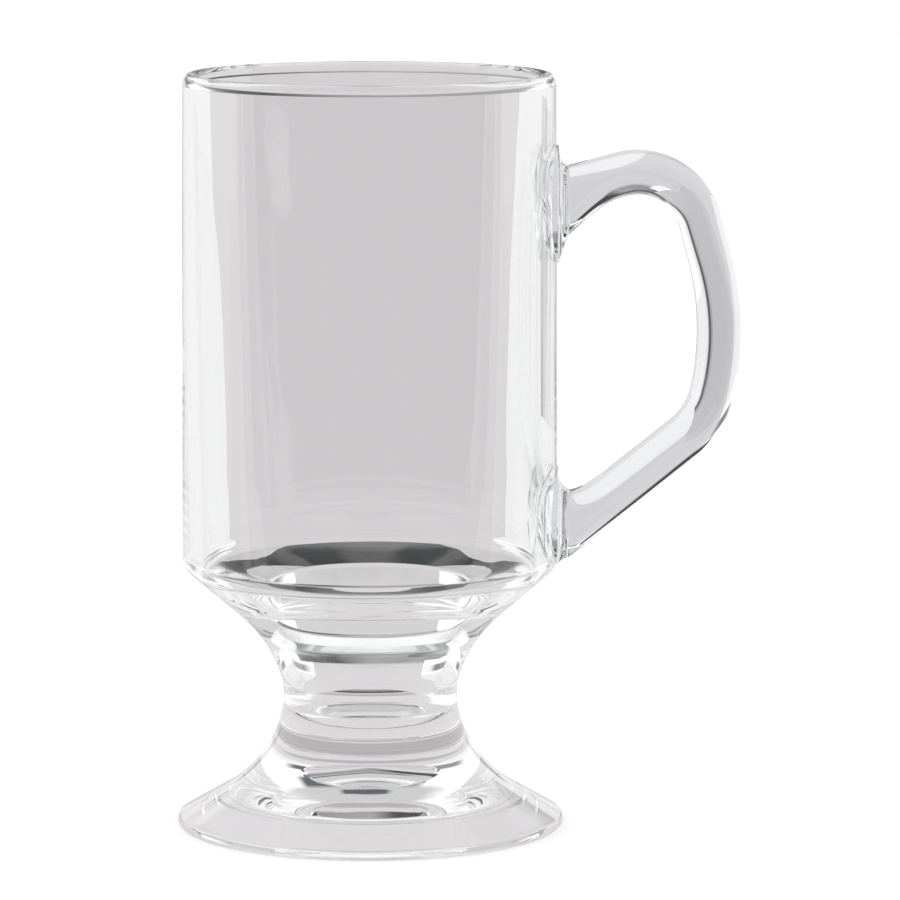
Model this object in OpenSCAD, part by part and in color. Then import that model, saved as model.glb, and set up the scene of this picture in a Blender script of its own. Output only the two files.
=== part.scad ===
// Footed glass mug for Irish coffee: a tall straight bowl on a short waisted stem and a round
// foot, with one looped handle.
// The bowl, stem and foot share one turned outline and are fused at two level joints.
// The handle is fused to the bowl wall through an upper and a lower pad.
// Millimetres. The origin is the centre of the foot on the table, and the handle points along +X.

/* [Lip and wall] */
// Height from the table to the top of the lip
mug_h = 143; // [138:1:150]
// Outside radius of the bowl where the shoulder starts
bowl_base_r = 35.5; // [34.8:0.1:36.5]
// How much narrower the bowl is just under the lip
bowl_draft = 0.4; // [0.2:0.1:0.8]
// Thickness of the wall just under the lip
lip_wall = 2; // [1.7:0.1:2.6]
// Thickness of the wall where the inside starts to draw in
base_wall = 3.2; // [2.8:0.1:3.6]
// Height of the fire-polished rounding on the outside of the lip
lip_h = 2; // [1.4:0.1:2.6]
// Height of the fire-polished rounding on the inside of the lip
lip_inside_h = 0.8; // [0.5:0.1:1.2]
// How far the lip's bead stands proud of the wall, on the inside
lip_bead = 0.35; // [0.25:0.05:0.5]
// How far below the lip's top the bead ends
lip_bead_h = 2.2; // [1.9:0.1:2.6]
// Height over which the bead runs out into the wall
lip_bead_slope_h = 0.7; // [0.5:0.1:0.9]

/* [Shoulder and stem] */
// Height of the corner under the bowl, before it is rounded
shoulder_z = 50; // [49.5:0.1:51]
// Rounding of the corner under the bowl
shoulder_r = 3.3; // [2.8:0.1:4.5]
// Height of the joint between the bowl and the stem
bowl_joint_z = 44; // [43.5:0.1:44.5]
// Radius at the corner of the waist, before it is rounded
waist_corner_r = 19; // [18.5:0.1:20]
// Height of the corner of the waist, before it is rounded
waist_corner_z = 35.7; // [35:0.1:37]
// Rounding of the waist between the bowl and the neck
waist_r = 27; // [22:0.5:28]
// Radius of the neck, the narrowest place of the stem
neck_r = 16.5; // [16:0.1:17]
// Height at which the neck's band ends
neck_top_z = 27.4; // [27:0.1:28]
// Height at which the neck's band starts
neck_bottom_z = 23.3; // [22.8:0.1:23.8]
// Height of the joint between the stem and the foot
foot_joint_z = 16.5; // [16:0.1:17]

/* [Foot] */
// Radius of the foot
foot_r = 36.6; // [36:0.1:38]
// Radius at the corner of the foot's sweep, before it is rounded
sweep_corner_r = 18.6; // [18.2:0.1:19]
// Height of the corner of the foot's sweep, before it is rounded
sweep_corner_z = 12.5; // [12:0.1:13]
// Rounding of the sweep between the neck and the foot
sweep_r = 23; // [20:0.5:23.5]
// Rounding over the foot's edge
foot_edge_r = 1; // [0.8:0.1:1.2]
// Rounding under the foot's edge
foot_base_r = 1.3; // [1.1:0.1:1.5]
// Width of the ring that the foot rests on
foot_ring_w = 1.6; // [1.2:0.1:2.2]
// Radius at the corner of the hollow under the foot
hollow_corner_r = 28; // [26:0.5:29]
// Height at the corner of the hollow under the foot
hollow_z = 5; // [4:0.1:5.5]
// Rounding of the corner of the hollow under the foot
hollow_corner_round_r = 6; // [4:0.5:8]
// Radius of the dimple in the middle of the hollow, before its edge is rounded
dimple_r = 9; // [8:0.5:10]
// How much higher than the corner of the hollow the edge of the dimple is
dimple_edge_rise = 0.5; // [0.3:0.1:0.8]
// Rounding of the edge of the dimple
dimple_round_r = 4; // [3:0.5:6]
// How far the middle of the dimple rises above its edge
dimple_h = 2.5; // [2:0.1:3]

/* [Inside of the bowl] */
// Height at which the inside starts to draw in
draw_in_z = 67.2; // [66:0.1:69]
// Rounding of the wall where it starts to draw in
draw_in_r = 40; // [30:1:50]
// Thickness of the glass outside the corner of the floor, before it is rounded
floor_corner_wall = 3.7; // [3.4:0.1:4.2]
// Height of the corner of the floor, before it is rounded
floor_corner_z = 49.3; // [49:0.1:49.8]
// Rounding between the inside wall and the floor
floor_round_r = 1.9; // [1.4:0.1:2.4]
// Inside radius at the edge of the floor, where it turns down into the well
floor_edge_r = 19; // [18.5:0.1:19.5]
// Height of the edge of the floor
floor_edge_z = 46.5; // [46.2:0.1:47]
// Rounding over the edge of the floor
floor_edge_round_r = 1.3; // [1:0.1:1.8]

/* [Well in the stem] */
// Inside radius where the mouth of the well narrows less, before it is rounded
well_mouth_r = 15.7; // [15.2:0.1:16]
// Height at which the mouth of the well narrows less
well_mouth_z = 38; // [37.5:0.1:38.6]
// Rounding of the mouth of the well
well_mouth_round_r = 11.3; // [8:0.1:14]
// Inside radius at the bottom of the well, before it is rounded
well_bottom_r = 11.4; // [11:0.1:11.8]
// Height of the bottom of the well
well_bottom_z = 19.4; // [18.9:0.1:20]
// Rounding at the bottom of the well
well_bottom_round_r = 4.8; // [4:0.1:6]

/* [Handle] */
// Thickness of the handle, seen from the side of the mug
handle_thick = 8; // [7:0.1:9]
// Width of the handle, across the mug
handle_w = 12; // [10:0.5:14]
// Size of the bevel along the handle's edges
handle_bevel = 1.9; // [1.2:0.1:2.4]
// How far below the lip the upper arm's middle meets its root
upper_root_drop = 21.7; // [20.5:0.1:23]
// How far the corner of the upper bend stands off the bowl
upper_bend_out = 23.5; // [21:0.5:26.5]
// How far below the lip the corner of the upper bend is
upper_bend_drop = 16; // [14:0.5:18]
// Rounding of the upper bend, along the handle's middle
upper_bend_r = 12; // [10:0.5:13]
// How far the corner of the long side bend stands off the bowl
side_bend_out = 31.8; // [29.5:0.1:34.5]
// Share of the way from the lower to the upper bend at which the side bend's corner is
side_bend_share = 0.37; // [0.31:0.01:0.41]
// Rounding of the long side bend, along the handle's middle
side_bend_r = 55; // [40:1:58]
// How far the corner of the lower bend stands off the bowl
lower_bend_out = 28; // [25.5:0.5:30.5]
// How far above the corner of the shoulder the corner of the lower bend is
lower_bend_rise = 27.5; // [25:0.1:29]
// Rounding of the lower bend, along the handle's middle
lower_bend_r = 14.5; // [12:0.5:15]
// How far above the corner of the shoulder the lower arm's middle meets its root
lower_root_rise = 6.7; // [6.1:0.1:8.1]
// How much further the upper arm's underside drops at its root
upper_flare = 4.4; // [3:0.1:5.5]
// How much further the lower arm's top rises at its root
lower_flare = 2.4; // [1.5:0.1:3.5]
// Length of the arm over which each root flares
flare_l = 9; // [7:0.5:11]

/* [Pads] */
// How far the handle's roots stand off the bowl wall
pad_h = 1.9; // [1.5:0.1:2.6]
// How far the upper pad spreads sideways beyond the handle
upper_pad_side = 3; // [2:0.1:3.6]
// How far the upper pad spreads above the handle
upper_pad_rise = 4; // [3:0.1:5]
// How far the heel of the upper pad runs down below the handle
upper_pad_heel = 4.4; // [3.5:0.1:5.2]
// How far the heel's foot spreads further down the wall
upper_pad_tail = 1.2; // [0.8:0.1:1.6]
// How far the lower pad spreads sideways beyond the handle
lower_pad_side = 4; // [3:0.1:4.6]
// How far the lower pad spreads above the handle
lower_pad_rise = 4.6; // [3.5:0.1:5.2]
// How far the lower pad spreads below the handle
lower_pad_drop = 1.6; // [1:0.1:2]

/* [Hidden] */
$fn = 96;

glass = [0.86, 0.91, 0.91, 0.45];
handle_glass = [0.8, 0.88, 0.9, 0.55];

// Steps around each rounded corner of the turned outline
corner_steps = 10;
// Steps around each bend of the handle, and along each of its straights
bend_steps = 12;
straight_steps = 5;
// Rings of each pad between the handle and the wall
pad_rings = 7;
// A rounding takes at most this share of the shorter straight beside its corner
corner_limit_share = 0.96;
// How far along its sides each edge of the handle's bevel is softened
soften_share = 0.12;
// Share of the rounding over the foot's edge that its corner stands above the rounding under it
foot_edge_share = 0.8;

// Direction from p to q
function direction(p, q) = (q - p) / norm(q - p);

// Points that round the corner q between p and s with radius r
function rounded_corner(p, q, s, r, steps) =
    let(
        back = direction(q, p),
        ahead = direction(q, s),
        half_turn = acos(back * ahead) / 2,
        shorter = min(norm(p - q), norm(s - q)),
        reach = min(r / tan(half_turn), shorter * corner_limit_share),
        true_r = reach * tan(half_turn),
        centre = q + direction(q, q + back + ahead) * norm([reach, true_r]),
        first = q + back * reach - centre,
        side = sign(back.x * ahead.y - back.y * ahead.x),
        sweep = side * (180 - 2 * half_turn)
    )
    [for (i = [0:steps]) let(a = -sweep * i / steps)
        centre + [first.x * cos(a) - first.y * sin(a), first.x * sin(a) + first.y * cos(a)]];

// An outline through corners, each [x, y, rounding]; a rounding of 0 leaves a sharp corner
function outline(corners, steps) =
    let(n = len(corners), xy = [for (c = corners) [c.x, c.y]])
    [for (i = [0:n - 1])
        each (i == 0 || i == n - 1 || corners[i][2] == 0)
            ? [xy[i]]
            : rounded_corner(xy[i - 1], xy[i], xy[i + 1], corners[i][2], steps)];

// Points of a quarter ellipse about centre c, from angle a to angle b
function oval(c, size, a, b) =
    [for (i = [0:corner_steps]) let(t = a + (b - a) * i / corner_steps)
        c + [size.x * cos(t), size.y * sin(t)]];

// Outside radius of the bowl wall at height z, with its very slight taper
function wall_r(z) = bowl_base_r - bowl_draft * (z - shoulder_z) / (mug_h - lip_h - shoulder_z);

// The lip is an outer and an inner rounding that meet at its top
bowl_lip_r = bowl_base_r - bowl_draft;
lip_top_r = bowl_lip_r - lip_wall * lip_h / (lip_h + lip_inside_h);
wall_inside_r = bowl_lip_r - lip_wall;
lip_inside_r = wall_inside_r - lip_bead;
lip_outside = oval([lip_top_r, mug_h - lip_h], [bowl_lip_r - lip_top_r, lip_h], 90, 0);
lip_inside = oval([lip_top_r, mug_h - lip_inside_h], [lip_top_r - lip_inside_r, lip_inside_h], 90, 180);

// The turned outside, from the lip down to the middle of the hollow under the foot
outside_corners = [
    [bowl_lip_r, mug_h - lip_h, 0],
    [bowl_base_r, shoulder_z, shoulder_r],
    [waist_corner_r, waist_corner_z, waist_r],
    [neck_r, neck_top_z, 0],
    [neck_r, neck_bottom_z, 0],
    [sweep_corner_r, sweep_corner_z, sweep_r],
    [foot_r, foot_base_r + foot_edge_r * foot_edge_share, foot_edge_r],
    [foot_r, 0, foot_base_r],
    [foot_r - foot_base_r - foot_ring_w, 0, 0],
    [hollow_corner_r, hollow_z, hollow_corner_round_r],
    [dimple_r, hollow_z + dimple_edge_rise, dimple_round_r],
    [0, hollow_z + dimple_edge_rise + dimple_h, 0]
];
outside = outline(outside_corners, corner_steps);

// The inside of the bowl and its well, from the lip down to the middle of the well's bottom
inside_corners = [
    [lip_inside_r, mug_h - lip_inside_h, 0],
    [lip_inside_r, mug_h - lip_bead_h + lip_bead_slope_h, lip_bead],
    [wall_inside_r, mug_h - lip_bead_h, lip_bead],
    [wall_r(draw_in_z) - base_wall, draw_in_z, draw_in_r],
    [bowl_base_r - floor_corner_wall, floor_corner_z, floor_round_r],
    [floor_edge_r, floor_edge_z, floor_edge_round_r],
    [well_mouth_r, well_mouth_z, well_mouth_round_r],
    [well_bottom_r, well_bottom_z, well_bottom_round_r],
    [0, well_bottom_z, 0]
];
inside = outline(inside_corners, corner_steps);

// The parts of the cut outlines that lie above or below a level
wide = foot_r + handle_w;
module above(z) {
    intersection() {
        children();
        translate([0, z]) square([wide, mug_h]);
    }
}
module below(z) {
    intersection() {
        children();
        square([wide, z]);
    }
}

// The solid outside form, without the inside
module outside_form() {
    polygon(concat(lip_outside, outside, [[0, mug_h]]));
}

// The half section of the whole glass body
module body_section() {
    difference() {
        outside_form();
        polygon(concat([[0, mug_h]], lip_inside, inside));
    }
}

module bowl() {
    color(glass) rotate_extrude() above(bowl_joint_z) body_section();
}

module stem() {
    color(glass) rotate_extrude() below(bowl_joint_z) above(foot_joint_z) body_section();
}

module foot() {
    color(glass) rotate_extrude() below(foot_joint_z) body_section();
}

// The middle line of the handle, from its upper root to its lower root
root_x = bowl_base_r + pad_h;
upper_bend_z = mug_h - upper_bend_drop;
lower_bend_z = shoulder_z + lower_bend_rise;
side_bend_z = lower_bend_z + (upper_bend_z - lower_bend_z) * side_bend_share;
handle_corners = [
    [root_x, mug_h - upper_root_drop, 0],
    [bowl_base_r + upper_bend_out, upper_bend_z, upper_bend_r],
    [bowl_base_r + side_bend_out, side_bend_z, side_bend_r],
    [bowl_base_r + lower_bend_out, lower_bend_z, lower_bend_r],
    [root_x, shoulder_z + lower_root_rise, 0]
];

// The same line with its long stretches divided
function divided(points, longest) =
    let(n = len(points))
    concat([for (i = [0:n - 2])
        let(steps = ceil(norm(points[i + 1] - points[i]) / longest))
        each [for (k = [0:steps - 1]) points[i] + (points[i + 1] - points[i]) * k / steps]],
        [points[n - 1]]);
handle_line = divided(outline(handle_corners, bend_steps), flare_l / straight_steps);
last_i = len(handle_line) - 1;

// How strongly point i of the handle belongs to a root: 1 at the root, 0 past its flare
function rootness(i) = pow(max(0, 1 - (handle_line[i].x - root_x) / flare_l), 2);

// Directions across the handle at point i: square to its line, and the way the ring there lies
function square_way(i) =
    let(d = direction(handle_line[max(0, i - 1)], handle_line[min(last_i, i + 1)]))
    [-d.y, d.x];
function ring_way(i) =
    let(
        upright = [0, i < last_i / 2 ? 1 : -1],
        way = square_way(i) * (1 - rootness(i)) + upright * rootness(i)
    )
    way / norm(way);

// Reach of the ring at point i to the outside of the loop, and to its inside
function outer_reach(i) = handle_thick / 2 / (ring_way(i) * square_way(i));
function inner_reach(i) = outer_reach(i) + (i < last_i / 2 ? upper_flare : lower_flare) * rootness(i);

// A bevelled section: [reach, sideways] points, with its own bevel at the inner and the outer end
function section(inner, outer, half_w, inner_bevel, outer_bevel) =
    let(
        corners = [
            [outer, outer_bevel - half_w], [outer, half_w - outer_bevel],
            [outer - outer_bevel, half_w], [inner_bevel - inner, half_w],
            [-inner, half_w - inner_bevel], [-inner, inner_bevel - half_w],
            [inner_bevel - inner, -half_w], [outer - outer_bevel, -half_w]
        ],
        n = len(corners)
    )
    [for (i = [0:n - 1])
        let(c = corners[i], before = corners[(i + n - 1) % n], after = corners[(i + 1) % n])
        each [c + (before - c) * soften_share, c + (after - c) * soften_share]];

// A section set into space at point p of the mug's middle plane, lying along way
function set_ring(points, p, way) = [for (q = points) [p.x + way.x * q.x, q.y, p.y + way.y * q.x]];

// A closed skin over a row of rings that all have as many points
module skin(rings) {
    n = len(rings);
    m = len(rings[0]);
    sides = [for (i = [0:n - 2]) for (j = [0:m - 1])
        let(a = i * m + j, b = i * m + (j + 1) % m)
        each [[a, b, b + m], [a, b + m, a + m]]];
    ends = [[for (j = [m - 1:-1:0]) j], [for (j = [0:m - 1]) (n - 1) * m + j]];
    polyhedron([for (r = rings) each r], concat(sides, ends));
}

module handle() {
    color(handle_glass)
    skin([for (i = [0:last_i])
        set_ring(section(inner_reach(i), outer_reach(i), handle_w / 2, handle_bevel, handle_bevel),
            handle_line[i], ring_way(i))]);
}

// A pad spreads from the handle's root at point i onto the bowl wall, and ends on the true
// surface of the wall. Towards the inside of the loop its heel leaves the root steeply and its
// tail runs out along the wall; the other spreads run out along the wall too
module pad(i, heel, tail, outer_spread, side_spread) {
    deep_x = bowl_base_r - base_wall;
    rings = [for (k = [0:pad_rings])
        let(turn = 90 * k / pad_rings, spread = 1 - cos(turn), half_w = handle_w / 2 + side_spread * spread)
        [root_x - pad_h * sin(turn), section(
            inner_reach(i) + heel * sin(turn) + tail * spread,
            outer_reach(i) + outer_spread * spread,
            half_w,
            handle_bevel + (half_w - handle_bevel) * spread / 2,
            handle_bevel + (half_w - handle_bevel) * spread / 2)]];
    color(glass)
    difference() {
        skin(concat(
            [for (r = rings) set_ring(r[1], [r[0], handle_line[i].y], ring_way(i))],
            [set_ring(rings[pad_rings][1], [deep_x, handle_line[i].y], ring_way(i))]));
        rotate_extrude() outside_form();
    }
}

module upper_handle_pad() {
    pad(0, upper_pad_heel, upper_pad_tail, upper_pad_rise, upper_pad_side);
}

module lower_handle_pad() {
    pad(last_i, 0, lower_pad_rise, lower_pad_drop, lower_pad_side);
}

bowl();
stem();
foot();
handle();
upper_handle_pad();
lower_handle_pad();
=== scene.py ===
from math import atan, ceil, cos, hypot, pi, radians, sin, tan

import bmesh
import bpy
from mathutils import Matrix, Vector


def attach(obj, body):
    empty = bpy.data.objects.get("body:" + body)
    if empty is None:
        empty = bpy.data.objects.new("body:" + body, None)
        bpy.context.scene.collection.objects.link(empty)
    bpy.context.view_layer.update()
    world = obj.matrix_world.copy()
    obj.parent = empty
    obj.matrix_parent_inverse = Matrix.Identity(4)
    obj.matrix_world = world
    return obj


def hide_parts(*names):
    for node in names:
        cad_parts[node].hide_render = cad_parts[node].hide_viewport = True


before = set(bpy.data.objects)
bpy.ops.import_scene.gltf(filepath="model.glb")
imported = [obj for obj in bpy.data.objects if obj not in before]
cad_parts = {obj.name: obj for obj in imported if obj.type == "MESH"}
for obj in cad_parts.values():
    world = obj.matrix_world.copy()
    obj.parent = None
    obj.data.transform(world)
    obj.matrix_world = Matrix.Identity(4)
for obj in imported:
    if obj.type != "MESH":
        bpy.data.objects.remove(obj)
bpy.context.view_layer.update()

# Bowl
# The tall straight cup of the mug, pressed in clear soda-lime glass. Its lip is fire polished, and
# its shoulder turns in sharply under a floor that falls into the stem. The bowl, stem and foot are
# one pressed body with one outside and one inside, and they are fused level to each other.

mm_in_m = 1000


def softened(corners):
    """The line through corners (reach, height, rounding) in mm, each corner drawn as an arc."""
    arc_steps = 24
    most_of_a_side = 0.96
    line = []
    for place, (reach, height, rounding) in enumerate(corners):
        if rounding == 0 or place in (0, len(corners) - 1):
            line.append((reach, height))
            continue
        here = Vector((reach, height))
        back = Vector(corners[place - 1][:2]) - here
        ahead = Vector(corners[place + 1][:2]) - here
        half = back.angle(ahead) / 2
        start = min(rounding / tan(half), most_of_a_side * min(back.length, ahead.length))
        inwards = (back.normalized() + ahead.normalized()).normalized()
        centre = here + inwards * hypot(start, start * tan(half))
        spoke = here + back.normalized() * start - centre
        side = 1 if back.x * ahead.y - back.y * ahead.x > 0 else -1
        for step in range(arc_steps + 1):
            swing = Matrix.Rotation(-side * (pi - 2 * half) * step / arc_steps, 2)
            line.append(tuple(centre + swing @ spoke))
    return line


def quarter_oval(r, z, wide, high, first, last):
    """A quarter of an oval about (r, z) in mm, from one angle in degrees to another."""
    oval_steps = 36
    angles = [radians(first + (last - first) * step / oval_steps) for step in range(oval_steps + 1)]
    return [(r + wide * cos(angle), z + high * sin(angle)) for angle in angles]


def stretch(line, high, low):
    """The part of an outline between two heights, cut at each of them."""
    kept = []
    for here, there in zip(line, line[1:]):
        if low <= here[1] <= high and (not kept or kept[-1] != here):
            kept.append(here)
        for level in sorted((high, low), reverse=here[1] > there[1]):
            if min(here[1], there[1]) < level < max(here[1], there[1]):
                share = (level - here[1]) / (there[1] - here[1])
                kept.append((here[0] + (there[0] - here[0]) * share, level))
    if low <= line[-1][1] <= high:
        kept.append(line[-1])
    return kept


def turn(name, line, closed=True):
    """A turned piece: one point is drawn out along the outline in mm and spun round the axis."""
    spin_steps = 256
    seam_slack = 1e-6
    seed_size = 0.002
    bpy.ops.object.select_all(action="DESELECT")
    bpy.ops.mesh.primitive_plane_add(size=seed_size, location=(0, 0, 0))
    piece = bpy.context.object
    piece.name = piece.data.name = name
    bpy.ops.object.mode_set(mode="EDIT")
    bpy.ops.mesh.select_all(action="SELECT")
    bpy.ops.mesh.merge(type="CENTER")
    spots = [Vector((r / mm_in_m, 0, z / mm_in_m)) for r, z in line]
    bpy.ops.transform.translate(value=spots[0])
    for here, there in zip(spots, spots[1:]):
        bpy.ops.mesh.extrude_region_move(TRANSFORM_OT_translate={"value": there - here})
    bpy.ops.mesh.select_all(action="DESELECT")
    if closed:
        drawn = bmesh.from_edit_mesh(piece.data)
        drawn.verts.ensure_lookup_table()
        drawn.verts[0].select_set(True)
        drawn.verts[-1].select_set(True)
        bmesh.update_edit_mesh(piece.data)
        bpy.ops.mesh.edge_face_add()
    bpy.ops.mesh.select_all(action="SELECT")
    bpy.ops.mesh.spin(steps=spin_steps, angle=2 * pi, center=(0, 0, 0), axis=(0, 0, 1))
    bpy.ops.mesh.select_all(action="SELECT")
    bpy.ops.mesh.remove_doubles(threshold=seam_slack)
    bpy.ops.mesh.normals_make_consistent(inside=False)
    bpy.ops.object.mode_set(mode="OBJECT")
    return piece


def pressed_glass(name, tint):
    """Clear glass of one tint, with the faint upright ripples that the press leaves."""
    glass = bpy.data.materials.new(name)
    glass.use_nodes = True
    shader = glass.node_tree.nodes["Principled BSDF"]
    shader.inputs["Base Color"].default_value = (*tint, 1)
    shader.inputs["Roughness"].default_value = 0.0
    shader.inputs["IOR"].default_value = 1.5
    shader.inputs["Transmission Weight"].default_value = 1.0
    wave = glass.node_tree.nodes.new("ShaderNodeGroup")
    wave.node_tree = pressed_ripple
    glass.node_tree.links.new(wave.outputs["Normal"], shader.inputs["Normal"])
    return glass


def mark_joints(piece, is_joint):
    """Gives the faces that are fused to a neighbour the finish that light passes unchanged."""
    if fused_joint.name not in piece.data.materials:
        piece.data.materials.append(fused_joint)
    slot = piece.data.materials.find(fused_joint.name)
    for face in piece.data.polygons:
        if is_joint(face.center, face.normal):
            face.material_index = slot


def level_at(*heights):
    """The test for a face that lies level at one of these heights in mm."""
    return lambda spot, way: abs(way.z) > nearly_square and any(
        abs(spot.z - height / mm_in_m) < joint_slack for height in heights
    )


def smooth(piece):
    """Rounds the shading of the piece and keeps its sharp edges."""
    sharp_from = radians(32)
    bpy.ops.object.select_all(action="DESELECT")
    bpy.context.view_layer.objects.active = piece
    piece.select_set(True)
    bpy.ops.object.shade_smooth_by_angle(angle=sharp_from)


def stand_in(piece, node):
    """The glass piece takes the place of one node of the mug."""
    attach(piece, "root")
    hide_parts(node)


pressed_ripple = bpy.data.node_groups.new("pressed_ripple", "ShaderNodeTree")
pressed_ripple.interface.new_socket("Normal", in_out="OUTPUT", socket_type="NodeSocketVector")
ripple_nodes, ripple_link = pressed_ripple.nodes, pressed_ripple.links.new
glass_place = ripple_nodes.new("ShaderNodeTexCoord")
drawn_upright = ripple_nodes.new("ShaderNodeMapping")
drawn_upright.inputs["Scale"].default_value = (110, 110, 22)
uneven = ripple_nodes.new("ShaderNodeTexNoise")
uneven.inputs["Scale"].default_value = 1.0
uneven.inputs["Detail"].default_value = 1.5
raised = ripple_nodes.new("ShaderNodeBump")
raised.inputs["Strength"].default_value = 1.0
raised.inputs["Distance"].default_value = 0.00004
ripple_out = ripple_nodes.new("NodeGroupOutput")
ripple_link(glass_place.outputs["Object"], drawn_upright.inputs["Vector"])
ripple_link(drawn_upright.outputs["Vector"], uneven.inputs["Vector"])
ripple_link(uneven.outputs["Fac"], raised.inputs["Height"])
ripple_link(raised.outputs["Normal"], ripple_out.inputs["Normal"])

body_glass = pressed_glass("clear_pressed_glass", (0.985, 0.99, 0.987))

# The unbroken glass inside a fused joint, which light passes as if no face were there
fused_joint = bpy.data.materials.new("fused_joint")
fused_joint.use_nodes = True
joint_nodes = fused_joint.node_tree.nodes
joint_nodes.remove(joint_nodes["Principled BSDF"])
passing = joint_nodes.new("ShaderNodeBsdfTransparent")
joint_end = joint_nodes["Material Output"].inputs["Surface"]
fused_joint.node_tree.links.new(passing.outputs["BSDF"], joint_end)
joint_slack, nearly_square = 1e-6, 0.99

# The lip: its peak lies between an outer and an inner quarter oval, over a small inner bead
lip_r, lip_wall, lip_top = 35.1, 2.0, 143.0
lip_outer_h, lip_inner_h = 2.0, 0.8
lip_peak_r = lip_r - lip_wall * lip_outer_h / (lip_outer_h + lip_inner_h)
bead, bead_h, bead_end_h, bead_round_r = 0.35, 1.5, 2.2, 0.3
bead_r = lip_r - lip_wall - bead
base_r, shoulder_z = 35.5, 50.0
bowl_joint_z, foot_joint_z = 44.0, 16.5

# The outside of the pressed body from the lip down, then its underside in to the axis, in mm
outside = quarter_oval(
    lip_peak_r, lip_top - lip_outer_h, lip_r - lip_peak_r, lip_outer_h, 90, 0
) + softened([
    (lip_r, lip_top - lip_outer_h, 0),
    (base_r, shoulder_z, 3.3),
    (19.0, 35.7, 27.0),
    (16.5, 27.4, 0),
    (16.5, 23.3, 0),
    (18.6, 12.5, 23.0),
    (36.6, 2.1, 1.0),
    (36.6, 0.0, 1.3),
    (33.7, 0.0, 0),
    (28.0, 5.0, 6.0),
    (9.0, 5.5, 4.0),
    (0.0, 8.0, 0),
])[1:]

# The inside from the lip down to the bottom of the well
inside = quarter_oval(
    lip_peak_r, lip_top - lip_inner_h, lip_peak_r - bead_r, lip_inner_h, 90, 180
) + softened([
    (bead_r, lip_top - lip_inner_h, 0),
    (bead_r, lip_top - bead_h, bead_round_r),
    (lip_r - lip_wall, lip_top - bead_end_h, bead_round_r),
    (32.2, 67.2, 40.0),
    (31.8, 49.3, 1.9),
    (19.0, 46.5, 1.3),
    (15.7, 38.0, 11.3),
    (11.4, 19.4, 4.8),
    (0.0, 19.4, 0),
])[1:]

bowl_inside = stretch(inside, lip_top, bowl_joint_z)
bowl_outside = stretch(outside, lip_top, bowl_joint_z)
bowl = turn("bowl_glass", bowl_inside[::-1] + bowl_outside[1:])
bowl.data.materials.append(body_glass)
mark_joints(bowl, level_at(bowl_joint_z))
stand_in(bowl, "bowl")

# Stem
# The short waisted stem between the bowl and the foot, of the same pressed glass. The narrow well
# of the bowl reaches down into it. It is fused level to its neighbours at both ends.

stem_inside = stretch(inside, bowl_joint_z, foot_joint_z)
stem_outside = stretch(outside, bowl_joint_z, foot_joint_z)
stem_end = [(0.0, foot_joint_z)]
stem = turn("stem_glass", stem_end + stem_inside[::-1] + stem_outside + stem_end, closed=False)
stem.data.materials.append(body_glass)
mark_joints(stem, level_at(bowl_joint_z, foot_joint_z))
smooth(stem)
stand_in(stem, "stem")

# Foot
# The round foot spreads from the stem to a rounded edge and rests on a narrow ground ring. Its
# underside is hollow, as the press leaves it, and its top is fused level to the stem.

foot_outline = [(0.0, foot_joint_z)] + stretch(outside, foot_joint_z, 0.0)
foot = turn("foot_glass", foot_outline, closed=False)
foot.data.materials.append(body_glass)
mark_joints(foot, level_at(foot_joint_z))
smooth(foot)
stand_in(foot, "foot")

# Handle
# One looped bar of clear glass with rounded edges, pressed with the mug. It bends over at the top,
# is long and nearly straight at the side and turns in again below, and its roots flare on the pads.

handle_thick, handle_wide, inner_edge_r, outer_edge_r = 8.0, 12.0, 3.1, 3.2
root_x, flare_long, upper_flare, lower_flare = 37.4, 9.0, 4.4, 2.4

# The middle line of the bar from its upper to its lower root: (reach, height, bend radius)
handle_corners = [
    (root_x, 121.3, 0),
    (59.0, 127.0, 12.0),
    (67.28, 95.75, 55.0),
    (63.5, 77.4, 14.5),
    (root_x, 56.6, 0),
]


def rounded_section(inner, outer, half_wide, inner_r, outer_r):
    """A section (reach, across) in mm: a bar with its two inner and two outer edges rounded."""
    edge_steps = 10
    ring = []
    for r, x, y, first in (
        (outer_r, outer - outer_r, outer_r - half_wide, -90),
        (outer_r, outer - outer_r, half_wide - outer_r, 0),
        (inner_r, inner_r - inner, half_wide - inner_r, 90),
        (inner_r, inner_r - inner, inner_r - half_wide, 180),
    ):
        for step in range(edge_steps + 1):
            angle = radians(first + 90 * step / edge_steps)
            ring.append(Vector((x + r * cos(angle), y + r * sin(angle))))
    return ring


def walked(line):
    """The same line in mm with its long stretches divided."""
    longest = 1.2
    spots = []
    for here, there in zip(line, line[1:]):
        here, there = Vector(here), Vector(there)
        pieces = max(1, ceil((there - here).length / longest))
        spots += [here + (there - here) * step / pieces for step in range(pieces)]
    return spots + [Vector(line[-1])]


middle_line = walked(softened(handle_corners))
last = len(middle_line) - 1


def rootness(place):
    """How much of the root's flare there is at one place: 1 at the root, 0 beyond the flare."""
    return max(0, 1 - (middle_line[place].x - root_x) / flare_long) ** 2


def square_way(place):
    """The way square to the middle line, towards the outside of the loop."""
    ahead = middle_line[min(last, place + 1)] - middle_line[max(0, place - 1)]
    along = ahead.normalized()
    return Vector((-along.y, along.x))


def ring_way(place):
    """The way a ring of the bar lies: upright at the roots, square to the middle line elsewhere."""
    upright = Vector((0, 1 if place < last / 2 else -1))
    return square_way(place).lerp(upright, rootness(place)).normalized()


def reaches(place):
    """How far the bar reaches outwards and inwards from its middle line at one place."""
    outwards = handle_thick / 2 / ring_way(place).dot(square_way(place))
    flare = upper_flare if place < last / 2 else lower_flare
    return outwards, outwards + flare * rootness(place)


def set_ring(section, x, z, way):
    """A section stood in the mug's middle plane at (x, z) mm, lying along way, in metres."""
    return [Vector((x + way.x * spot.x, spot.y, z + way.y * spot.x)) / mm_in_m for spot in section]


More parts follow.
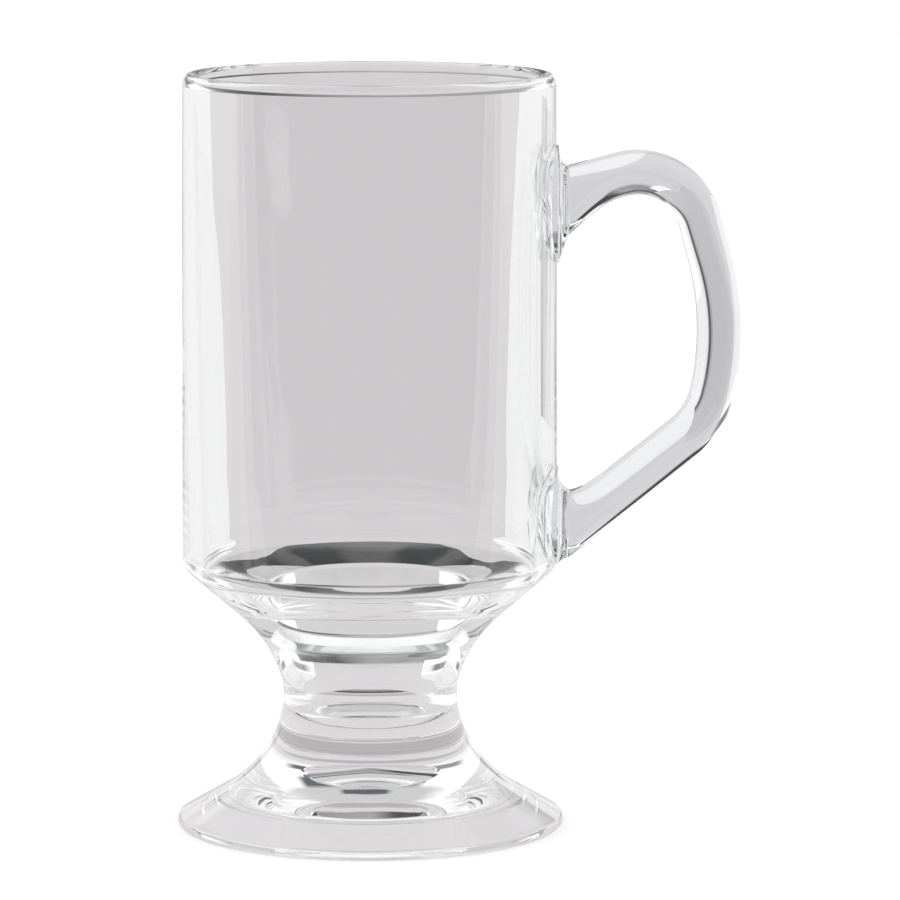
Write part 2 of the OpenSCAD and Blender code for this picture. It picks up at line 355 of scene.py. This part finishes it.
def draw_out(name, rings):
    """A glass bar: the first ring is filled, then its face is drawn out from ring to ring."""
    seed_r = 0.004
    bpy.ops.object.select_all(action="DESELECT")
    bpy.ops.mesh.primitive_circle_add(
        vertices=len(rings[0]), radius=seed_r, fill_type="NGON", location=(0, 0, 0)
    )
    piece = bpy.context.object
    piece.name = piece.data.name = name
    bpy.ops.object.mode_set(mode="EDIT")
    bpy.ops.mesh.select_all(action="SELECT")
    bar = bmesh.from_edit_mesh(piece.data)
    for corner, spot in zip(bar.verts, rings[0]):
        corner.co = spot
    for ring in rings[1:]:
        bpy.ops.mesh.extrude_region_move()
        bar = bmesh.from_edit_mesh(piece.data)
        moved = [corner for corner in bar.verts if corner.select]
        for corner, spot in zip(moved, ring):
            corner.co = spot
        bmesh.update_edit_mesh(piece.data)
    bpy.ops.mesh.select_all(action="SELECT")
    bpy.ops.mesh.normals_make_consistent(inside=False)
    bpy.ops.object.mode_set(mode="OBJECT")
    return piece


def at_root(spot, way):
    """The test for the flat face where the handle and a pad are fused."""
    return abs(spot.x - root_x / mm_in_m) < joint_slack and abs(way.x) > nearly_square


def even_flats(piece):
    """Shades the large faces of a bar as true flats between its rounded edges."""
    weighted = piece.modifiers.new("flats", "WEIGHTED_NORMAL")
    weighted.keep_sharp = True
    bpy.context.view_layer.objects.active = piece
    bpy.ops.object.modifier_apply(modifier=weighted.name)


handle_rings = []
for place in range(last + 1):
    outwards, inwards = reaches(place)
    section = rounded_section(inwards, outwards, handle_wide / 2, inner_edge_r, outer_edge_r)
    spot = middle_line[place]
    handle_rings.append(set_ring(section, spot.x, spot.y, ring_way(place)))
handle = draw_out("handle_glass", handle_rings)
handle_glass = pressed_glass("clear_handle_glass", (0.96, 0.98, 0.985))
handle.data.materials.append(handle_glass)
mark_joints(handle, at_root)
smooth(handle)
even_flats(handle)
stand_in(handle, "handle")

# Handle pads
# Where each root of the handle meets the bowl, hot glass has spread over the wall in a soft pad,
# with a heel below the upper root. Each pad ends just inside the wall's skin and is one with it.


def pad(name, place, inner_fillet, heel, outer_fillet, side_spread):
    """A pad from a root of the handle to the wall, with fillets all round and a heel inwards."""
    pad_steps = 14
    flat_left = 0.1
    buried_x = 32.0
    stand_off = root_x - base_r
    outer, inner = reaches(place)
    rings = []
    for step in range(pad_steps + 1):
        swing = pi / 2 * step / pad_steps
        spread, swell = 1 - cos(swing), sin(swing)
        half = handle_wide / 2 + side_spread * spread
        inwards = inner + inner_fillet * spread + heel * swell
        outwards = outer + outer_fillet * spread
        roundest = min(half, (inwards + outwards) / 2) - flat_left
        section = rounded_section(
            inwards,
            outwards,
            half,
            inner_edge_r + (roundest - inner_edge_r) * spread,
            outer_edge_r + (roundest - outer_edge_r) * spread,
        )
        x, z = root_x - stand_off * swell, middle_line[place].y
        rings.append(set_ring(section, x, z, ring_way(place)))
    buried = [Vector((buried_x / mm_in_m, spot.y, spot.z)) for spot in rings[-1]]
    return draw_out(name, rings + [buried])


def cut_with(piece, cutter):
    """Cuts the cutter's form out of the piece, and leaves the cutter's own finish on the cut."""
    bpy.ops.object.select_all(action="DESELECT")
    bpy.context.view_layer.objects.active = piece
    piece.select_set(True)
    cut = piece.modifiers.new("cut", "BOOLEAN")
    cut.operation = "DIFFERENCE"
    cut.solver = "EXACT"
    cut.object = cutter
    cut.material_mode = "TRANSFER"
    bpy.ops.object.modifier_apply(modifier=cut.name)


upper_pad = pad("upper_handle_pad_glass", 0, 1.2, 4.4, 4.0, 3.0)
lower_pad = pad("lower_handle_pad_glass", last, 4.6, 0.0, 1.6, 4.0)

# The bowl's form just under its skin, solid, that the back of each pad is shaped to
skin_depth, core_low_z = 0.02, 40.0
core = turn("bowl_core", [
    (0.0, core_low_z),
    (base_r - skin_depth, core_low_z),
    (base_r - skin_depth, shoulder_z),
    (lip_r - skin_depth, lip_top - lip_outer_h),
    (0.0, lip_top - lip_outer_h),
], closed=False)
core.data.materials.append(fused_joint)
for piece in (upper_pad, lower_pad):
    piece.data.materials.append(handle_glass)
    cut_with(piece, core)
bpy.data.objects.remove(core)

# The bowl gives way to the two pads, and is smoothed once they are let in
for piece in (upper_pad, lower_pad):
    cut_with(bowl, piece)
smooth(bowl)
for piece, node in ((upper_pad, "upper_handle_pad"), (lower_pad, "lower_handle_pad")):
    mark_joints(piece, at_root)
    smooth(piece)
    even_flats(piece)
    stand_in(piece, node)

# Table
# A broad white table top, which carries the mug and only its faint shadow. It is a little brighter
# to the eye than the room makes it, so that it runs into the white behind.

table_wide, table_middle_y = 3.0, 0.9
table_lift_in_glass, table_lift_to_eye = 0.08, 0.27
bpy.ops.object.select_all(action="DESELECT")
bpy.ops.mesh.primitive_plane_add(size=table_wide, location=(0, table_middle_y, 0))
table = bpy.context.object
table.name = "floor"
white_table = bpy.data.materials.new("white_table")
white_table.use_nodes = True
table_shader = white_table.node_tree.nodes["Principled BSDF"]
table_shader.inputs["Base Color"].default_value = (0.86, 0.86, 0.86, 1)
table_shader.inputs["Roughness"].default_value = 0.9
table_shader.inputs["Specular IOR Level"].default_value = 0
table_shader.inputs["Emission Color"].default_value = (1, 1, 1, 1)
seen = white_table.node_tree.nodes.new("ShaderNodeLightPath")
lift = white_table.node_tree.nodes.new("ShaderNodeMath")
lift.operation = "MULTIPLY_ADD"
lift.inputs[1].default_value = table_lift_to_eye
lift.inputs[2].default_value = table_lift_in_glass
white_table.node_tree.links.new(seen.outputs["Is Camera Ray"], lift.inputs[0])
white_table.node_tree.links.new(lift.outputs[0], table_shader.inputs["Emission Strength"])
table.data.materials.append(white_table)

# Papers
# Grey sheets lie and stand about the mug and give its clear glass something to show. One long
# sheet widens away from the mug and curves up behind it, and only the glass sees any of them.


def paper_colour(shade):
    """The faintly rosy grey of the paper at one shade."""
    return (shade * 1.01, shade * 0.975, shade, 1)


def grey_paper(name, shade):
    """A paper that gives out its own even grey light."""
    paper = bpy.data.materials.new(name)
    paper.use_nodes = True
    glow = paper.node_tree.nodes["Principled BSDF"]
    glow.inputs["Base Color"].default_value = (0, 0, 0, 1)
    glow.inputs["Specular IOR Level"].default_value = 0
    glow.inputs["Emission Color"].default_value = paper_colour(shade)
    glow.inputs["Emission Strength"].default_value = 1
    return paper


def shaded_paper(name, axis, first, last, shades):
    """A paper whose grey changes along one axis, with (share, shade) marks from first to last."""
    paper = grey_paper(name, shades[0][1])
    nodes, link = paper.node_tree.nodes, paper.node_tree.links.new
    where = nodes.new("ShaderNodeTexCoord")
    parts = nodes.new("ShaderNodeSeparateXYZ")
    along = nodes.new("ShaderNodeMapRange")
    along.inputs["From Min"].default_value = first
    along.inputs["From Max"].default_value = last
    ramp = nodes.new("ShaderNodeValToRGB")
    marks = ramp.color_ramp.elements
    marks.remove(marks[-1])
    for place, (share, shade) in enumerate(shades):
        mark = marks[0] if place == 0 else marks.new(share)
        mark.position = share
        mark.color = paper_colour(shade)
    link(where.outputs["Object"], parts.inputs[0])
    link(parts.outputs[axis], along.inputs["Value"])
    link(along.outputs[0], ramp.inputs[0])
    link(ramp.outputs["Color"], nodes["Principled BSDF"].inputs["Emission Color"])
    return paper


def paper_sheet(name, rows, paper):
    """A sheet of paper through rows of (left, right, y, z) in metres, drawn out row by row."""
    row_slack = 1e-5
    seed_size = 0.01
    bpy.ops.object.select_all(action="DESELECT")
    bpy.ops.mesh.primitive_plane_add(size=seed_size, location=(0, 0, 0))
    sheet = bpy.context.object
    sheet.name = sheet.data.name = name
    bpy.ops.object.mode_set(mode="EDIT")
    drawn = bmesh.from_edit_mesh(sheet.data)
    for corner in drawn.verts:
        left, right, y, z = rows[0] if corner.co.y < 0 else rows[1]
        corner.co = (left if corner.co.x < 0 else right, y, z)
    for (near_left, near_right, near_y, near_z), (left, right, y, z) in zip(rows[1:], rows[2:]):
        bpy.ops.mesh.select_all(action="DESELECT")
        drawn = bmesh.from_edit_mesh(sheet.data)
        for corner in drawn.verts:
            corner.select_set(abs(corner.co.y - near_y) + abs(corner.co.z - near_z) < row_slack)
        drawn.select_flush(True)
        bmesh.update_edit_mesh(sheet.data)
        bpy.ops.mesh.extrude_region_move()
        drawn = bmesh.from_edit_mesh(sheet.data)
        for corner in drawn.verts:
            if corner.select:
                corner.co = (left if corner.co.x < (near_left + near_right) / 2 else right, y, z)
        bmesh.update_edit_mesh(sheet.data)
    bpy.ops.object.mode_set(mode="OBJECT")
    sheet.data.materials.append(paper)
    sheet.visible_camera = sheet.visible_diffuse = sheet.visible_shadow = False


# The long sheet behind the mug, which darkens towards its upper edge
near_half_width, widening_left, widening_right = 0.030, 0.158, 0.126
sweep_line = [
    (-0.060, 0.0003),
    (0.340, 0.0003),
    (0.900, 0.0003),
    (0.960, 0.020),
    (0.990, 0.060),
    (1.000, 0.310),
]
sweep_rows = []
for y, z in sweep_line:
    beyond = max(0.0, y)
    left = near_half_width + beyond * widening_left
    right = near_half_width + beyond * widening_right
    sweep_rows.append((-left, right, y, z))
sweep_shades = [(0.0, 0.70), (0.72, 0.68), (0.97, 0.25)]
paper_sheet("grey_sweep", sweep_rows, shaded_paper("grey_sweep", "Z", 0.0, 0.310, sweep_shades))

# Two dark screens hang over the sweep's upper edge, to the left and to the right
screen_y, screen_lean, screen_top = 0.980, 0.0001, 0.450
for name, left, right, low, shades in (
    ("left_screen", -0.33, 0.0, 0.255, [(0.0, 0.005), (0.8, 0.01), (1.0, 0.35)]),
    ("right_screen", 0.0, 0.33, 0.300, [(0.0, 0.35), (1.0, 0.15)]),
):
    rows = [(left, right, screen_y, low), (left, right, screen_y + screen_lean, screen_top)]
    paper_sheet(name, rows, shaded_paper(name, "X", left, right, shades))

# Two small darker sheets on the sweep paint the mug's shadow: one behind the foot, one farther off
shade_z = 0.0006
foot_painted_shadow_rows = [(-0.017, 0.015, 0.034, shade_z), (-0.015, 0.013, 0.066, shade_z)]
foot_painted_shadows = [(0.0, 0.45), (0.5, 0.35), (1.0, 0.62)]
foot_painted_shadow_paper = shaded_paper("foot_painted_shadow", "Y", 0.034, 0.066, foot_painted_shadows)
paper_sheet("foot_painted_shadow", foot_painted_shadow_rows, foot_painted_shadow_paper)

# The farther sheet is the bowl's painted shadow on the table behind it
bowl_painted_shadow_rows = [
    (-0.0165, 0.0155, 0.080, shade_z),
    (-0.014, 0.013, 0.095, shade_z),
    (-0.006, 0.005, 0.112, shade_z),
]
bowl_painted_shadows = [(0.0, 0.0), (0.45, 0.02), (1.0, 0.5)]
bowl_painted_shadow_paper = shaded_paper("bowl_painted_shadow", "Y", 0.080, 0.112, bowl_painted_shadows)

# The farther one shows only to light that has passed more than the two faces of a plain wall
wall_faces = 2.5
shade_path = bowl_painted_shadow_paper.node_tree.nodes.new("ShaderNodeLightPath")
past_wall = bowl_painted_shadow_paper.node_tree.nodes.new("ShaderNodeMath")
past_wall.operation = "GREATER_THAN"
past_wall.inputs[1].default_value = wall_faces
shade_shader = bowl_painted_shadow_paper.node_tree.nodes["Principled BSDF"]
shade_link = bowl_painted_shadow_paper.node_tree.links.new
shade_link(shade_path.outputs["Transmission Depth"], past_wall.inputs[0])
shade_link(past_wall.outputs[0], shade_shader.inputs["Alpha"])
paper_sheet("bowl_painted_shadow", bowl_painted_shadow_rows, bowl_painted_shadow_paper)

# Even grey sheets before the mug and at its two sides
even_grey, flat_z, strip_z, strip_half = 0.66, 0.0003, 0.0002, 0.055
near_paper = grey_paper("near_paper", even_grey)
near_rows = [(-3.0, 3.0, -3.5, flat_z), (-3.0, 3.0, -0.1, flat_z)]
for name, left, right in (("left_paper", -1.5, -0.08), ("right_paper", 0.09, 1.5)):
    rows = [(left, right, -strip_half, strip_z), (left, right, strip_half, strip_z)]
    paper_sheet(name, rows, grey_paper(name, even_grey))

# The near one has painted shade where the glass mirrors it, dim as the unlit side of a room is
mirrored_share = 0.15
near_path = near_paper.node_tree.nodes.new("ShaderNodeLightPath")
dimming = near_paper.node_tree.nodes.new("ShaderNodeMapRange")
dimming.inputs["To Min"].default_value = 1.0
dimming.inputs["To Max"].default_value = mirrored_share
near_shader = near_paper.node_tree.nodes["Principled BSDF"]
near_link = near_paper.node_tree.links.new
near_link(near_path.outputs["Glossy Depth"], dimming.inputs["Value"])
near_link(dimming.outputs[0], near_shader.inputs["Emission Strength"])
paper_sheet("near_paper", near_rows, near_paper)

# A narrow card close behind the handle: grey, then a dark line, then light
card_left, card_right, card_y, card_lean = 0.060, 0.080, 0.035, 0.0001
card_rows = [
    (card_left, card_right, card_y, 0.070),
    (card_left, card_right, card_y + card_lean, 0.133),
]
card_shades = [
    (0.0, 0.62),
    (0.48, 0.56),
    (0.58, 0.3),
    (0.64, 0.05),
    (0.69, 0.2),
    (0.75, 0.85),
    (1.0, 1.0),
]
card_paper = shaded_paper("side_card", "X", card_left, card_right, card_shades)
paper_sheet("side_card", card_rows, card_paper)

# Room
# A bright white room with a few dark places low behind the mug and a grey one higher up, which
# draw the dark lines of the glass. The eye itself sees plain white.

room = bpy.data.worlds.new("studio_room")
bpy.context.scene.world = room
room.use_nodes = True
room_nodes, room_link = room.node_tree.nodes, room.node_tree.links.new
for node in list(room_nodes):
    room_nodes.remove(node)
room_end = room_nodes.new("ShaderNodeOutputWorld")
choose = room_nodes.new("ShaderNodeMixShader")
eye_path = room_nodes.new("ShaderNodeLightPath")
around = room_nodes.new("ShaderNodeBackground")
white = room_nodes.new("ShaderNodeBackground")
white.inputs["Color"].default_value = (1, 1, 1, 1)
room_link(eye_path.outputs["Is Camera Ray"], choose.inputs[0])
room_link(around.outputs[0], choose.inputs[1])
room_link(white.outputs[0], choose.inputs[2])
room_link(choose.outputs[0], room_end.inputs["Surface"])

room_way = room_nodes.new("ShaderNodeTexCoord")
way_parts = room_nodes.new("ShaderNodeSeparateXYZ")
room_link(room_way.outputs["Generated"], way_parts.inputs[0])
bearing = room_nodes.new("ShaderNodeMath")
bearing.operation = "ARCTAN2"
room_link(way_parts.outputs["X"], bearing.inputs[0])
room_link(way_parts.outputs["Y"], bearing.inputs[1])
round_room = room_nodes.new("ShaderNodeMapRange")
round_room.inputs["From Min"].default_value = -pi
round_room.inputs["From Max"].default_value = pi
room_link(bearing.outputs[0], round_room.inputs["Value"])
rise = room_nodes.new("ShaderNodeMath")
rise.operation = "ARCSINE"
room_link(way_parts.outputs["Z"], rise.inputs[0])
height = room_nodes.new("ShaderNodeMath")
height.operation = "DEGREES"
room_link(rise.outputs[0], height.inputs[0])


def bearing_band(tones):
    """The colour round the room, from (bearing, tone) marks: 0 is straight behind the mug."""
    ramp = room_nodes.new("ShaderNodeValToRGB")
    room_link(round_room.outputs[0], ramp.inputs[0])
    marks = ramp.color_ramp.elements
    marks.remove(marks[-1])
    for place, (degrees_round, tone) in enumerate(tones):
        share = (degrees_round + 180) / 360
        mark = marks[0] if place == 0 else marks.new(share)
        mark.position = share
        mark.color = (*tone, 1) if isinstance(tone, tuple) else (tone, tone, tone, 1)
    return ramp.outputs["Color"]


dark = (0.06, 0.08, 0.09)
left_side = [(-180, 0.9), (-90, 1.1), (-40, 1.1), (-24, 0.6)]
right_side = [(26, 0.6), (50, 0.8), (75, 1.1), (180, 0.9)]
ceiling_line = [(-8, 0.6), (-6, dark), (10, dark), (12, 0.6)]

# Each band of the room starts between two heights in degrees and reaches up to the next one
room_bands = [
    (0.5, 2, [
        (-180, 0.8), (-100, 1.0), (-60, 1.15), (-38, 1.1), (-32, 0.25), (-16, 0.25), (-12, 1.0),
        (12, 1.0), (15, dark), (26, dark), (32, 1.1), (60, 1.15), (100, 1.0), (180, 0.8),
    ]),
    (7, 9, [(-180, 0.8), (-100, 1.0), (-60, 1.15), (60, 1.15), (100, 1.0), (180, 0.8)]),
    (15, 17, [
        (-180, 0.7), (-100, 0.9), (-60, 1.15), (-20, 1.15), (-16, dark),
        (24, dark), (28, 1.15), (60, 1.15), (100, 0.9), (180, 0.7),
    ]),
    (24, 28, left_side + right_side),
    (29, 30, left_side + ceiling_line + right_side),
    (33, 34, left_side + right_side),
    (50, 58, [(-180, 0.9), (-90, 1.1), (90, 1.1), (180, 0.9)]),
]
room_colour = bearing_band([
    (-180, 0.9), (-130, 1.0), (-90, 1.15), (90, 1.15), (130, 1.0), (180, 0.9),
])
for low, high, tones in room_bands:
    share = room_nodes.new("ShaderNodeMapRange")
    share.inputs["From Min"].default_value = low
    share.inputs["From Max"].default_value = high
    room_link(height.outputs[0], share.inputs["Value"])
    mixed = room_nodes.new("ShaderNodeMix")
    mixed.data_type = "RGBA"
    room_link(share.outputs[0], mixed.inputs["Factor"])
    room_link(room_colour, mixed.inputs["A"])
    room_link(bearing_band(tones), mixed.inputs["B"])
    room_colour = mixed.outputs["Result"]
room_link(room_colour, around.inputs["Color"])

# Camera
# It stands a good metre before the mug and looks down on it a little, as in the photo. The mug's
# axis stands left of the middle of the picture, so the camera is turned a little to the right.

picture_wide, film_wide, lens_pixels, axis_pixel = 900, 36, 5787.3, 369.2
look_down, camera_y, camera_z = 7.659, -1.0836, 0.21744
lens = bpy.data.cameras.new("studio_camera")
camera = bpy.data.objects.new("studio_camera", lens)
bpy.context.scene.collection.objects.link(camera)
lens.sensor_width = film_wide
lens.lens = lens_pixels / picture_wide * film_wide
lens.clip_end = 50
camera.location = (0, camera_y, camera_z)
turned_right = atan((picture_wide / 2 - axis_pixel) / lens_pixels)
camera.rotation_euler = (radians(90 - look_down), 0, -turned_right)

scene = bpy.context.scene
scene.camera = camera
scene.view_settings.view_transform = "Standard"
scene.cycles.max_bounces = 64
scene.cycles.transmission_bounces = 48
scene.cycles.glossy_bounces = 48
scene.cycles.transparent_max_bounces = 24
